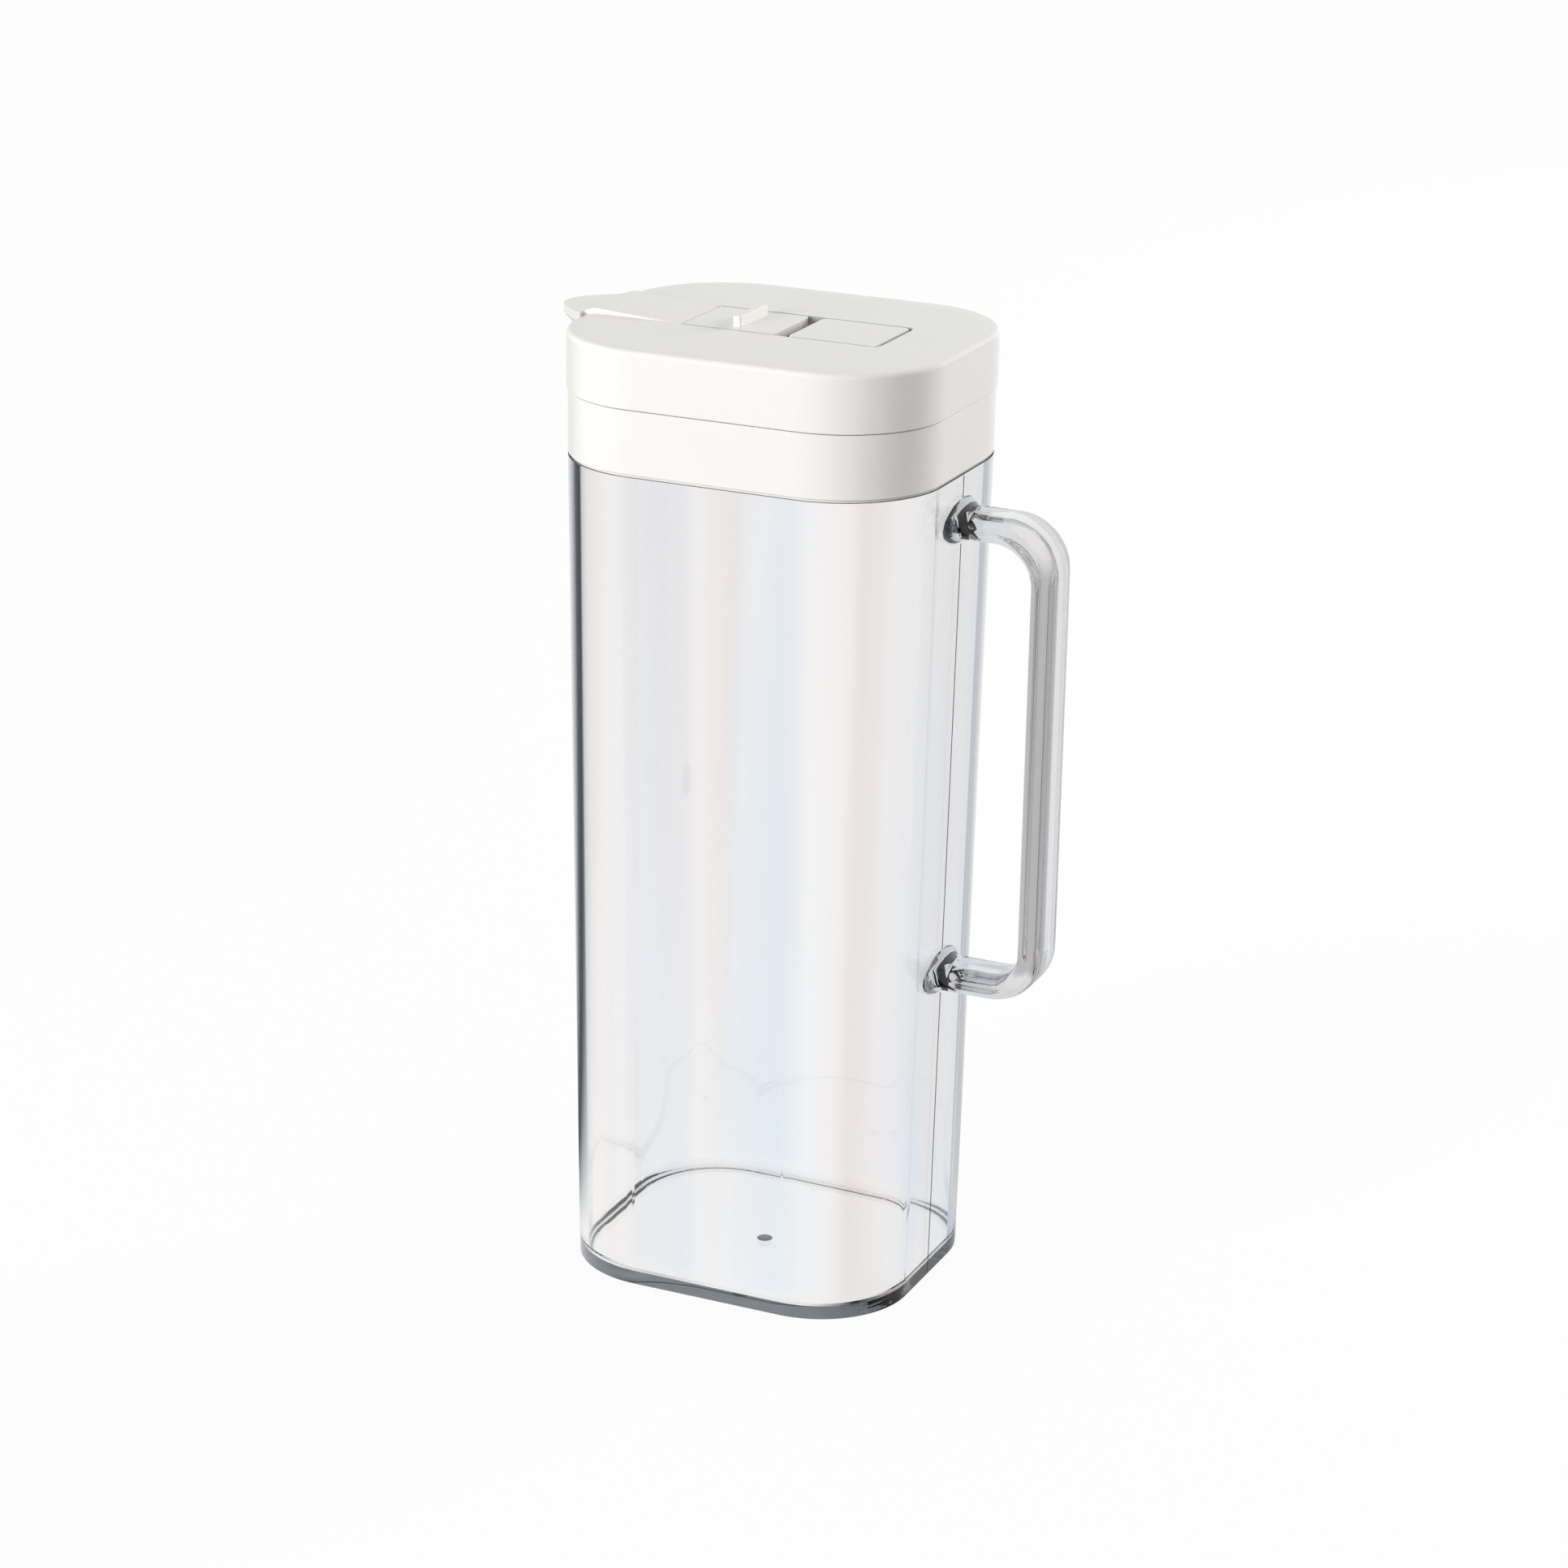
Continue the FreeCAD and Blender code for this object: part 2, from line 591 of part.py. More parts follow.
# The cap: shell with a falling border, plug, spout and the recess for flap, catch and cover.
def cap_block(body):
    """Outer form: straight side, falling border, flat top and rounded edge."""
    side_height = "cap_height - crown_drop"
    outer = centred_outline(body, "cap_outline", CAP_BASE, shoulder_outline("cap_proud"))
    pad(body, "cap_side", outer, side_height)
    border = centred_outline(
        body, "cap_border", f"{CAP_BASE} + {side_height}", shoulder_outline("cap_proud")
    )
    crown = centred_outline(
        body, "cap_crown", CAP_TOP, shoulder_outline("(cap_proud - crown_width)")
    )
    loft(body, "cap_falling_border", [border, crown])
    edge_height = f"{CAP_BASE} + {side_height}"
    fillet(body, "cap_edge_round", "cap_edge", lambda p: near(p.z, edge_height))
    fillet(body, "cap_base_round", "edge_round", lambda p: near(p.z, CAP_BASE))


def cap_inside(body):
    """Socket over the neck, shelf on its rim, hollow under the deck, and plug."""
    socket = shoulder_outline("(cap_fit - neck_inset)")
    plug_outer = neck_bore("cap_fit")
    plug_inner = neck_bore("cap_fit + plug_wall")
    sketch = centred_outline(body, "socket_outline", CAP_BASE, socket)
    pocket(body, "socket", sketch, f"{NECK_TOP} - {CAP_BASE}", upward=True)
    sketch = centred_outline(body, "throat_outline", NECK_TOP, plug_inner)
    pocket(body, "throat", sketch, "cap_shelf", upward=True)
    hollow = shoulder_outline("(cap_proud - cap_wall)")
    sketch = centred_outline(body, "hollow_outline", f"{NECK_TOP} + cap_shelf", hollow)
    pocket(body, "hollow", sketch, f"{DECK_UNDERSIDE} - {NECK_TOP} - cap_shelf", upward=True)
    sketch = centred_outline(body, "plug_outline", NECK_TOP, plug_outer)
    pad(body, "plug_block", sketch, "plug_depth", reverse=True)
    sketch = centred_outline(body, "plug_bore_outline", f"{NECK_TOP} - plug_depth", plug_inner)
    pocket(body, "plug_bore", sketch, "plug_depth", upward=True)


def cap_tray(body):
    """Floor under the recess and the well behind the catch."""
    tray = new_sketch(body, "tray_outline", offset=DECK_UNDERSIDE)
    rounded_outline(tray, MOUTH_START, "recess_end + tray_floor", "strip_half + tray_floor", "recess_corner")
    pad(body, "tray", tray, f"{DECK_UNDERSIDE} - {TRAY_UNDERSIDE}", reverse=True)
    well_left = "slot_start - well_under"
    well = new_sketch(body, "well_block_outline", offset=TRAY_UNDERSIDE)
    rounded_outline(
        well,
        f"{well_left} - well_wall",
        f"{COVER_FRONT} + well_wall",
        "strip_half + tray_floor",
        "catch_corner",
    )
    pad(body, "well_block", well, "well_depth + well_wall - recess_depth - tray_floor", reverse=True)


def cap_recess(body):
    """Recess for flap, catch and cover, open towards the spout, with the well at its bottom."""
    recess = new_sketch(body, "recess_outline", offset=CAP_TOP)
    rounded_outline(recess, "-beak_reach - recess_corner", "recess_end", "strip_half", "recess_corner")
    pocket(body, "recess", recess, "recess_depth")
    well = new_sketch(body, "well_outline", offset=CAP_TOP)
    rounded_outline(
        well, "slot_start - well_under", COVER_FRONT, "strip_half - side_gap", "catch_corner"
    )
    pocket(body, "well", well, "well_depth")
    groove = new_sketch(body, "groove_outline", offset=f"{RECESS_FLOOR} + catch_lift - groove_gap")
    rounded_outline(
        groove,
        f"{CATCH_FRONT} - groove_gap",
        COVER_FRONT,
        f"{STRIP_HALF} + tongue_reach + groove_gap",
        "catch_corner",
    )
    pocket(body, "grooves", groove, "tongue_height + 2 * groove_gap", upward=True)
    bearing = new_sketch(body, "bearing_outline", "XZ_Plane")
    circle_outline(bearing, HINGE_X, HINGE_Z, "pin_radius + pin_clearance")
    bearing_span = f"2 * ({STRIP_HALF} + pin_reach + groove_gap)"
    pocket(body, "bearings", bearing, bearing_span, midplane=True)


def cap_spout(body):
    """Lip under the flap's beak, narrowing down to the cap's side."""
    base = f"-{CAP_SIDE} + cap_wall / 2"
    lip = new_sketch(body, "lip_outline", offset=RECESS_FLOOR)
    beak_outline(lip, "-beak_reach + lip_inset", "beak_nose - lip_inset", base, "beak_half - lip_inset")
    foot = new_sketch(body, "spout_foot_outline", offset=f"{RECESS_FLOOR} - spout_drop")
    beak_outline(foot, f"-{CAP_SIDE} - spout_foot", "spout_nose", base, "spout_half")
    loft(body, "spout", [lip, foot])


def cap_mouth(body):
    """Pouring mouth through the tray and the trough that leads from it to the spout's tip."""
    mouth = new_sketch(body, "mouth_outline", offset=RECESS_FLOOR)
    rounded_outline(mouth, MOUTH_START, f"{MOUTH_START} + mouth_length", "mouth_half", "mouth_corner")
    pocket(body, "mouth", mouth, "tray_floor")
    base = f"{MOUTH_START} + mouth_corner"
    top = new_sketch(body, "trough_top_outline", offset=RECESS_FLOOR)
    beak_outline(
        top,
        "-beak_reach + lip_inset + lip_rim",
        "beak_nose - lip_inset - lip_rim",
        base,
        "mouth_half - mouth_corner / 2",
    )
    low = new_sketch(body, "trough_low_outline", offset=f"{RECESS_FLOOR} - trough_depth")
    beak_outline(low, f"-{CAP_SIDE} - trough_nose", "trough_nose", base, "mouth_half - mouth_corner")
    loft(body, "trough", [top, low], cut=True)


def make_cap():
    body = new_body("lid")
    cap_block(body)
    cap_inside(body)
    cap_tray(body)
    cap_spout(body)
    cap_recess(body)
    cap_mouth(body)
    return body


# The pouring flap: strip with a round beak, hinge barrel and pins.
def flap_plan(body):
    """Strip between the cap's shoulders and beak outside them, padded up to above the top."""
    height = "recess_depth - flap_seat + 2 * flap_lift"
    strip = new_sketch(body, "strip_outline", offset=FLAP_UNDERSIDE)
    beak_base = f"-{CAP_SIDE} - side_gap"
    rounded_outline(strip, f"{beak_base} - edge_round", HINGE_X, STRIP_HALF, "edge_round")
    pad(body, "strip", strip, height)
    beak = new_sketch(body, "beak_outline", offset=FLAP_UNDERSIDE)
    beak_outline(beak, "-beak_reach", "beak_nose", beak_base, "beak_half")
    pad(body, "beak", beak, height)


def flap_top(body):
    """Cut away what lies above the flap's top: rising strip, short slope, flat beak."""
    points = (
        (HINGE_X, CAP_TOP),
        ("-lift_line", f"{CAP_TOP} + flap_lift"),
        ("-beak_line", f"{CAP_TOP} - beak_drop"),
        ("-beak_reach - recess_corner", f"{CAP_TOP} - beak_drop"),
        ("-beak_reach - recess_corner", f"{CAP_TOP} + 4 * flap_lift"),
        (f"{HINGE_X} + {BARREL_RADIUS}", f"{CAP_TOP} + 4 * flap_lift"),
        (f"{HINGE_X} + {BARREL_RADIUS}", CAP_TOP),
    )
    sketch = new_sketch(body, "top_profile", "XZ_Plane")
    values = [(size_of(x), size_of(z)) for x, z in points]
    curves = [line(values[i], values[(i + 1) % len(values)]) for i in range(len(values))]
    draw_chain(sketch, curves, [False] * len(values))
    for index, (x, z) in enumerate(points):
        place(sketch, "X", index, 1, f"x_{index}", x)
        place(sketch, "Y", index, 1, f"z_{index}", z)
    pocket(body, "top_cut", sketch, "4 * beak_half", midplane=True)


def make_flap():
    body = new_body("flap")
    flap_plan(body)
    flap_top(body)
    for name, distance in (("lift_blend", "-lift_line"), ("beak_blend_round", "-beak_line")):
        fillet(body, name, "beak_blend", lambda p, d=distance: near(p.x, d))
    hollow = new_sketch(body, "hollow_outline", offset=FLAP_UNDERSIDE)
    rounded_outline(
        hollow,
        "-lift_line + flap_rim",
        f"{HINGE_X} - flap_rim",
        f"{STRIP_HALF} - flap_rim",
        "mouth_corner",
    )
    pocket(body, "hollow", hollow, "flap_hollow", upward=True)
    barrel = new_sketch(body, "barrel_outline", "XZ_Plane")
    circle_outline(barrel, HINGE_X, HINGE_Z, BARREL_RADIUS)
    pad(body, "barrel", barrel, f"2 * ({STRIP_HALF} - side_gap)", midplane=True)
    pin = new_sketch(body, "pin_outline", "XZ_Plane")
    circle_outline(pin, HINGE_X, HINGE_Z, "pin_radius")
    pad(body, "pins", pin, f"2 * ({STRIP_HALF} + pin_reach)", midplane=True)
    return body


# The thumb catch: a sliding plate with side tongues and an upright rib.
def make_catch():
    body = new_body("catch")
    underside = f"{RECESS_FLOOR} + catch_lift"
    plate = new_sketch(body, "plate_outline", offset=underside)
    rounded_outline(plate, CATCH_FRONT, "slot_start", STRIP_HALF, "catch_corner")
    pad(body, "plate", plate, "recess_depth - catch_lift")
    fillet(body, "plate_round", "edge_round", lambda p: near(p.z, CAP_TOP))
    tongue = new_sketch(body, "tongue_outline", offset=underside)
    rounded_outline(
        tongue,
        f"{CATCH_FRONT} + catch_corner",
        "slot_start - catch_corner",
        f"{STRIP_HALF} + tongue_reach",
        "edge_round",
    )
    pad(body, "tongues", tongue, "tongue_height")
    rib = new_sketch(body, "rib_outline", offset=CAP_TOP)
    rounded_outline(
        rib,
        "-rib_centre - rib_thickness / 2",
        "-rib_centre + rib_thickness / 2",
        "rib_half",
        "rib_round",
    )
    pad(body, "rib", rib, "rib_height")
    fillet(body, "rib_top_round", "rib_round", lambda p: near(p.z, f"{CAP_TOP} + rib_height"))
    return body


# The fixed cover plate behind the catch.
def make_cover():
    body = new_body("cover")
    plate = new_sketch(body, "plate_outline", offset=RECESS_FLOOR)
    rounded_outline(
        plate, COVER_FRONT, "recess_end - cover_end_gap", STRIP_HALF, "cover_corner"
    )
    pad(body, "plate", plate, "recess_depth")
    fillet(body, "plate_round", "edge_round", lambda p: near(p.z, CAP_TOP))
    return body


pieces = [make_jug(), make_collar(), make_cap(), make_flap(), make_catch(), make_cover()]
doc.recompute()

for item in doc.Objects:
    if "Invalid" in item.State or "Error" in item.State:
        raise RuntimeError(f"{item.Label} failed: {item.State}")

os.makedirs("parts", exist_ok=True)
for piece in pieces:
    shape = piece.Shape
    if shape.isNull() or not shape.isValid() or len(shape.Solids) != 1:
        raise RuntimeError(f"{piece.Label} is not one valid solid")
    shape.exportStep(f"parts/{piece.Label}.step")
    box = shape.BoundBox
    print(
        f"{piece.Label}: {shape.Volume / 1000:.2f} cm3, "
        f"X {box.XMin:.2f} to {box.XMax:.2f}, "
        f"Y {box.YMin:.2f} to {box.YMax:.2f}, "
        f"Z {box.ZMin:.2f} to {box.ZMax:.2f}"
    )
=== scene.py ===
import math

import bmesh
import bpy
from mathutils import Matrix, Quaternion, Vector


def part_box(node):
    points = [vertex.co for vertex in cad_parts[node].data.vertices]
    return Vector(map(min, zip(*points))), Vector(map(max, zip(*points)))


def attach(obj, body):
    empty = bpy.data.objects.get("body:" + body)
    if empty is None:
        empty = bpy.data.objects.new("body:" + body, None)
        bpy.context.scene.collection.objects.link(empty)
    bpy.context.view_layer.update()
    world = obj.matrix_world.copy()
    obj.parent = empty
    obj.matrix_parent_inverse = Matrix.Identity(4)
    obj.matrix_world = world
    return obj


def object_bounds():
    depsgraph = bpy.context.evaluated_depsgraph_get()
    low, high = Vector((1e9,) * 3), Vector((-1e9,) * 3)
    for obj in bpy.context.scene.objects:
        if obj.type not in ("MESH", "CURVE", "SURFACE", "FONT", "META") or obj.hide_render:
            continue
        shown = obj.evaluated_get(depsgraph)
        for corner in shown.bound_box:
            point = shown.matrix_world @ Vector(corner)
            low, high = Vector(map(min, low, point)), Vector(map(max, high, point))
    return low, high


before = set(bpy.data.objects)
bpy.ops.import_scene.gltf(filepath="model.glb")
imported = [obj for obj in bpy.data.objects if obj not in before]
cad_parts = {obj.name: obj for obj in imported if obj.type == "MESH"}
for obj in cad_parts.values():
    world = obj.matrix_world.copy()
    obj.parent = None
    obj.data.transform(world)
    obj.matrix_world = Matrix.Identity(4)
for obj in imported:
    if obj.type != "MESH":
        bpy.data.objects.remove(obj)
CAD_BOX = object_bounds()

bl_info = {
    "name": "Water Pitcher",
    "version": (1, 0, 0),
    "blender": (4, 5, 0),
    "location": "View3D > Sidebar > Water Pitcher",
    "description": "Dresses a clear water pitcher with a white lid and sets up its studio",
    "category": "Object",
}

MM = 0.001
BODY = "pitcher"

# The jug's handle side leans out by DRAFT for each unit of height, from FOOT_HALF_LENGTH at z = 0.
FLOOR_THICKNESS = 2.8 * MM
FOOT_HALF_LENGTH = 51.5 * MM
DRAFT = 3.7 / 243.9

# Moulding marks. The parting line's runs stop at the feet of the handle and at the collar.
GATE_PLACE = (0.4 * MM, -2.4 * MM)
PARTING_RUNS = ((0.8 * MM, 89.8 * MM), (103.0 * MM, 224.0 * MM), (237.2 * MM, 243.6 * MM))

# The strip in the lid that holds the flap, the catch and the cover, with its gaps and its slot.
# A painted shade fades over its edge to either side: the painted seam shade is sharp, and the
# painted slot shade is a little soft, because the slot's side walls stand right on the shade's
# edge.
STRIP_HALF = 12.75 * MM
GAP = 0.3 * MM
SEAM_REACH = 0.4 * MM
SEAM_EDGE = 0.001 * MM
SLOT_UNDER_CATCH = 3.6 * MM
SLOT_UNDER_COVER = 0.4 * MM
SLOT_DEPTH = 5.2 * MM
SLOT_BRIM = 0.2 * MM
SLOT_EDGE = 0.1 * MM

# Sizes and depths of the patterns in the plastics. The streaks fade in above the jug's floor.
CLOUD_SIZE = 45.5 * MM
GRAIN_SIZE = 0.7 * MM
GRAIN_DEPTH = 0.02 * MM
FROST_SIZE = 1.1 * MM
FROST_DEPTH = 0.03 * MM
STREAK_WIDTH = 26.3 * MM
STREAK_LENGTH = 909.0 * MM
STREAK_FADE = (3.0 * MM, 9.0 * MM)
RIPPLE_DEPTH = 0.0024 * MM

# How far the lid's roughness drifts to either side of its setting.
SMOOTHER = 0.04
ROUGHER = 0.06

ABS_IOR = 1.53
SAN_IOR = 1.57

# Tones round the set, by degrees from +Y towards +X, that gloss and clear plastic pick up: paper
# behind, a dark flag behind on the left, a dim room on the right and a black flag right of front.
FLOOR_TONES = (
    (-180, "FFFFFF"),
    (-157, "DCDCDE"),
    (-134, "FFFFFF"),
    (-112, "FFFFFF"),
    (-97, "E2E3E2"),
    (-82, "A9ADB2"),
    (-72, "26282B"),
    (-60, "3C3F43"),
    (-51, "DEE2E6"),
    (-43, "EDEFF1"),
    (-22, "FFFFFF"),
    (-7, "FFFFFF"),
    (8, "D2D2D4"),
    (23, "CACCD0"),
    (38, "DAD6D3"),
    (53, "D2D7DE"),
    (68, "D8DDE2"),
    (83, "E4E4E7"),
    (98, "E2DEDC"),
    (113, "B0A8A8"),
    (127, "000000"),
    (142, "F5F2F2"),
    (157, "FFFFFF"),
    (180, "FFFFFF"),
)
WALL_TONES = (
    (-180, "FFFFFF"),
    (-75, "F6F7F7"),
    (-45, "F2F4F6"),
    (-15, "F4F6F6"),
    (15, "F4F4F7"),
    (45, "C8CBCC"),
    (75, "B4B6B8"),
    (105, "889192"),
    (135, "E3E5DD"),
    (165, "FFFFFF"),
    (180, "FFFFFF"),
)
CEILING_TONE = "F6F8F5"
CEILING_HEIGHT = (0.5, 0.64)

# Past this many crossings of a clear surface, a sight line finds paper white all round.
FAR_CROSSINGS = 2.5
FAR_WHITE = "FFFEFD"

# The floor lies a hair below the jug's flat foot, so that the two surfaces stay apart. Most of
# the white that is seen of it is its own glow, and the rest takes the lamps and the shadow.
FLOOR_HALF_SIZE = 6.0
FLOOR_DROP = 0.3 * MM
FLOOR_GLOW = 0.925

LAMP_AIM = (0.0, 0.0, 0.2)
LAMP_SIZE = 0.8
FRONT_LAMP = (-0.82, -1.75, 0.68)
SIDE_LAMP = (1.09, 1.68, 0.7)

# Light runs a long way inside the clear floor and handle.
LIGHT_BOUNCES = 32


def linear(hex_colour):
    """Linear RGBA of an sRGB hex colour such as F4F5F2."""
    channels = [int(hex_colour[i : i + 2], 16) / 255 for i in (0, 2, 4)]
    lit = (c / 12.92 if c <= 0.04045 else ((c + 0.055) / 1.055) ** 2.4 for c in channels)
    return (*lit, 1.0)


def add_node(tree, kind, settings=(), inputs=(), links=()):
    """Add a node, set its properties and socket values, and link other nodes' outputs into it."""
    node = tree.nodes.new(kind)
    for name, value in dict(settings).items():
        setattr(node, name, value)
    for socket, value in dict(inputs).items():
        node.inputs[socket].default_value = value
    for socket, (source, output) in dict(links).items():
        tree.links.new(source.outputs[output], node.inputs[socket])
    return node


def new_material(name):
    """Empty node material and its output node."""
    material = bpy.data.materials.new(name)
    material.use_nodes = True
    tree = material.node_tree
    tree.nodes.clear()
    output = add_node(tree, "ShaderNodeOutputMaterial")
    return material, tree, output


class PitcherLooks(bpy.types.PropertyGroup):
    """Colours, finishes and moulding marks of the pitcher."""

    cap_colour: bpy.props.FloatVectorProperty(
        name="Lid colour",
        description="White of the lid, the collar, the flap, the catch and the cover",
        subtype="COLOR",
        size=4,
        min=0.0,
        max=1.0,
        default=linear("F5F3F0"),
    )
    cap_shade: bpy.props.FloatVectorProperty(
        name="Lid shade",
        description="Slightly deeper white that the lid's white drifts to",
        subtype="COLOR",
        size=4,
        min=0.0,
        max=1.0,
        default=linear("F1EFEA"),
    )
    cap_roughness: bpy.props.FloatProperty(
        name="Lid roughness",
        description="Roughness of the moulded white plastic",
        default=0.32,
        min=0.0,
        max=1.0,
    )
    # Painted shade: grey on the lid's gaps, where shade falls between the parts.
    painted_seam_shade: bpy.props.FloatVectorProperty(
        name="Painted seam shade",
        description="Painted shade in the gaps round the moving parts in the lid",
        subtype="COLOR",
        size=4,
        min=0.0,
        max=1.0,
        default=linear("BCBBB8"),
    )
    # Painted shade: near black inside the slot behind the catch, where shade falls.
    painted_slot_shade: bpy.props.FloatVectorProperty(
        name="Painted slot shade",
        description="Painted shade in the slot behind the catch",
        subtype="COLOR",
        size=4,
        min=0.0,
        max=1.0,
        default=linear("2A2B2C"),
    )
    clear_depth: bpy.props.FloatProperty(
        name="Clear depth",
        description="Absorption of the clear plastic for each metre of path",
        default=30.0,
        min=0.0,
    )
    mark_colour: bpy.props.FloatVectorProperty(
        name="Mark colour",
        description="Frosted grey of the gate mark and the parting line",
        subtype="COLOR",
        size=4,
        min=0.0,
        max=1.0,
        default=linear("94979B"),
    )
    gate_radius: bpy.props.FloatProperty(
        name="Gate radius",
        description="Radius of the round mark in the middle of the jug's floor",
        unit="LENGTH",
        default=2.3 * MM,
        min=0.0,
    )
    gate_rise: bpy.props.FloatProperty(
        name="Gate rise",
        description="Height of that mark above the floor",
        unit="LENGTH",
        default=0.35 * MM,
        min=0.0,
    )
    parting_width: bpy.props.FloatProperty(
        name="Parting width",
        description="Width of the parting line down the handle side",
        unit="LENGTH",
        default=0.22 * MM,
        min=0.0,
    )
    parting_rise: bpy.props.FloatProperty(
        name="Parting rise",
        description="Height of the parting line above the wall",
        unit="LENGTH",
        default=0.16 * MM,
        min=0.0,
    )


class PitcherStudio(bpy.types.PropertyGroup):
    """Camera and light."""

    azimuth: bpy.props.FloatProperty(
        name="Azimuth",
        description="Camera's turn round the pitcher; 0 looks along +Y",
        subtype="ANGLE",
        default=math.radians(24.136),
    )
    elevation: bpy.props.FloatProperty(
        name="Elevation",
        description="Camera's height above the horizon",
        subtype="ANGLE",
        default=math.radians(19.049),
    )
    roll: bpy.props.FloatProperty(
        name="Roll",
        description="Camera's turn about its own axis",
        subtype="ANGLE",
        default=math.radians(1.014),
    )
    distance: bpy.props.FloatProperty(
        name="Distance",
        description="From the camera to the point that it looks at",
        subtype="DISTANCE",
        default=1236.2 * MM,
    )
    aim: bpy.props.FloatVectorProperty(
        name="Aim",
        description="Point that the camera looks at",
        subtype="XYZ",
        size=3,
        default=(1.434 * MM, 2.297 * MM, 144.317 * MM),
    )
    lens: bpy.props.FloatProperty(
        name="Lens",
        description="Focal length on a 36 mm wide sensor",
        subtype="DISTANCE_CAMERA",
        default=98.295,
    )
    world_strength: bpy.props.FloatProperty(
        name="World strength",
        description="Strength of the plain studio surroundings",
        default=0.5,
        min=0.0,
    )
    front_power: bpy.props.FloatProperty(
        name="Front power",
        description="Power of the softbox left of front",
        unit="POWER",
        default=28.0,
        min=0.0,
    )
    side_power: bpy.props.FloatProperty(
        name="Side power",
        description="Power of the softbox behind on the handle's side",
        unit="POWER",
        default=35.0,
        min=0.0,
    )


def inside_boxes(tree, place, boxes, edge):
    """One inside any of the boxes, given by their lowest and highest corners, and zero outside."""
    mask = None
    for low, high in boxes:
        centre = (Vector(low) + Vector(high)) / 2
        half = (Vector(high) - Vector(low)) / 2
        away = add_node(
            tree,
            "ShaderNodeVectorMath",
            settings={"operation": "SUBTRACT"},
            inputs={1: centre},
            links={0: (place, "Object")},
        )
        reach = add_node(
            tree,
            "ShaderNodeVectorMath",
            settings={"operation": "ABSOLUTE"},
            links={0: (away, "Vector")},
        )
        past = add_node(
            tree,
            "ShaderNodeVectorMath",
            settings={"operation": "SUBTRACT"},
            inputs={1: half},
            links={0: (reach, "Vector")},
        )
        sides = add_node(tree, "ShaderNodeSeparateXYZ", links={0: (past, "Vector")})
        flat = add_node(
            tree,
            "ShaderNodeMath",
            settings={"operation": "MAXIMUM"},
            links={0: (sides, "X"), 1: (sides, "Y")},
        )
        farthest = add_node(
            tree,
            "ShaderNodeMath",
            settings={"operation": "MAXIMUM"},
            links={0: (flat, 0), 1: (sides, "Z")},
        )
        inside = add_node(
            tree,
            "ShaderNodeMapRange",
            inputs={"From Min": -edge, "From Max": edge, "To Min": 1.0, "To Max": 0.0},
            links={"Value": (farthest, 0)},
        )
        if mask is not None:
            inside = add_node(
                tree,
                "ShaderNodeMath",
                settings={"operation": "MAXIMUM"},
                links={0: (mask, 0), 1: (inside, 0)},
            )
        mask = inside
    return mask


def seam_boxes():
    """Thin boxes, full height, on the gaps beside catch and cover and behind flap and cover, for
    painted shade.
    """
    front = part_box("flap")[1][0] + GAP / 2
    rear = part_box("cover")[1][0] + GAP / 2
    bottom = CAD_BOX[0][2] - SEAM_REACH
    top = CAD_BOX[1][2] + SEAM_REACH
    side = STRIP_HALF + GAP / 2
    corner = STRIP_HALF + GAP
    beside = [
        ((front, y - SEAM_REACH, bottom), (rear, y + SEAM_REACH, top)) for y in (-side, side)
    ]
    across = [
        ((x - SEAM_REACH, -corner, bottom), (x + SEAM_REACH, corner, top)) for x in (front, rear)
    ]
    return beside + across


def slot_box():
    """The well that the catch slides over, between the catch and the cover, where shade is
    painted.
    """
    catch_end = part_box("catch")[1][0]
    cover_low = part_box("cover")[0]
    low = (catch_end - SLOT_UNDER_CATCH, -STRIP_HALF, cover_low[2] - SLOT_DEPTH)
    high = (cover_low[0] + SLOT_UNDER_COVER, STRIP_HALF, cover_low[2] + SLOT_BRIM)
    return low, high


